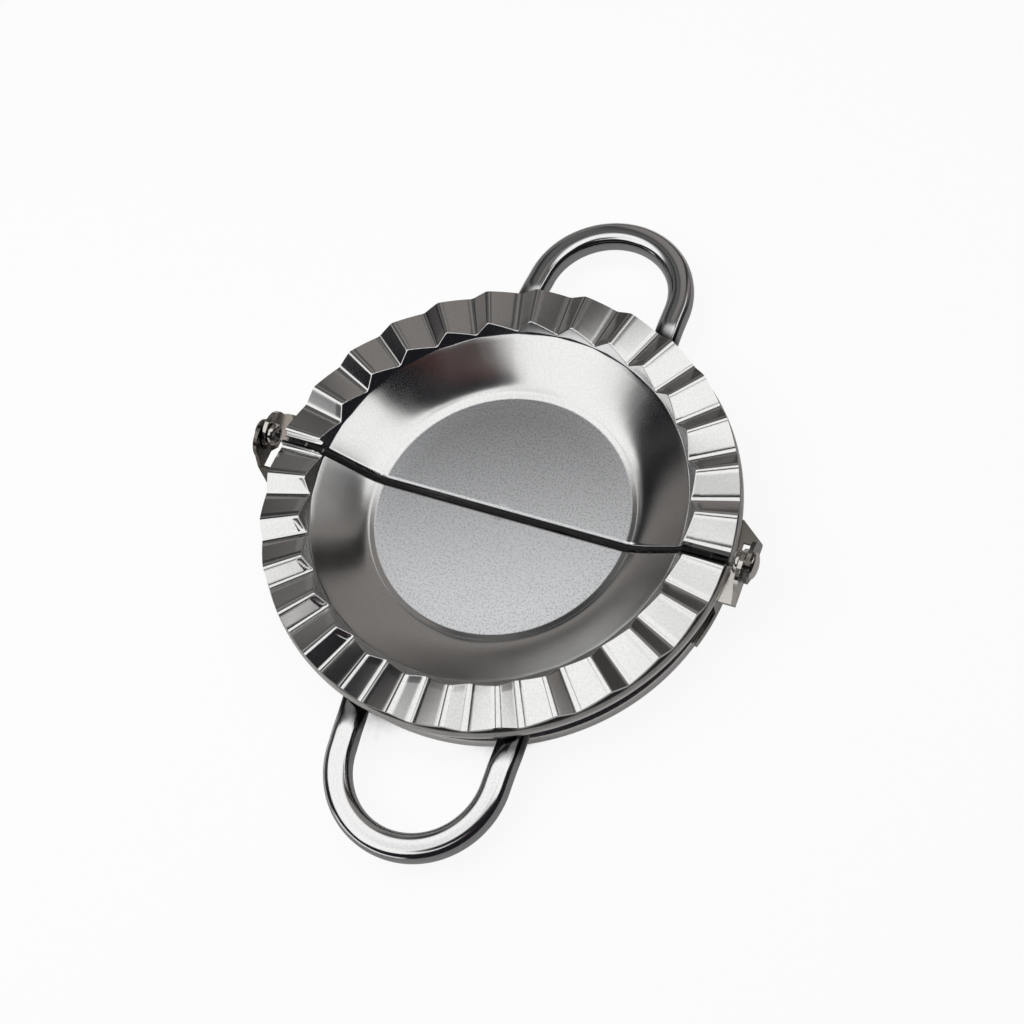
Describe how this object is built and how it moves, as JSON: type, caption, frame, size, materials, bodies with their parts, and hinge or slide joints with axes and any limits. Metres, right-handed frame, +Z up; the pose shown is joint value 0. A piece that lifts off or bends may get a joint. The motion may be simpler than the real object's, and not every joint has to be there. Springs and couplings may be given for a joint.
{
  "type": "dumpling press",
  "caption": "Hinged dumpling press in pressed stainless steel, with pleated half bowls, cutting rings underneath and looped rod handles, lying fully open.",
  "frame": {"origin": "on the table under the middle of the hinge line", "axes": "+X along the hinge line, +Y towards the far handle, +Z up out of the bowls"},
  "size_m": [0.1068, 0.1429, 0.0173],
  "materials": {
    "mould_steel": "satin",
    "ring_steel": "polished",
    "handle_steel": "polished",
    "ear_steel": "satin",
    "rivet_steel": "satin"
  },
  "bodies": {
    "near_half": {"near_mould": "mould_steel", "near_ring": "ring_steel", "near_handle": "handle_steel", "near_ear_right": "ear_steel", "near_ear_left": "ear_steel", "right_rivet": "rivet_steel", "left_rivet": "rivet_steel"},
    "far_half": {"far_mould": "mould_steel", "far_ring": "ring_steel", "far_handle": "handle_steel", "far_ear_right": "ear_steel", "far_ear_left": "ear_steel"}
  },
  "joints": [
    {"name": "fold", "type": "hinge", "parent": "near_half", "child": "far_half", "pos_m": [0, 0, 0.01418], "axis": [1, 0, 0], "range_deg": [0, 180]}
  ]
}
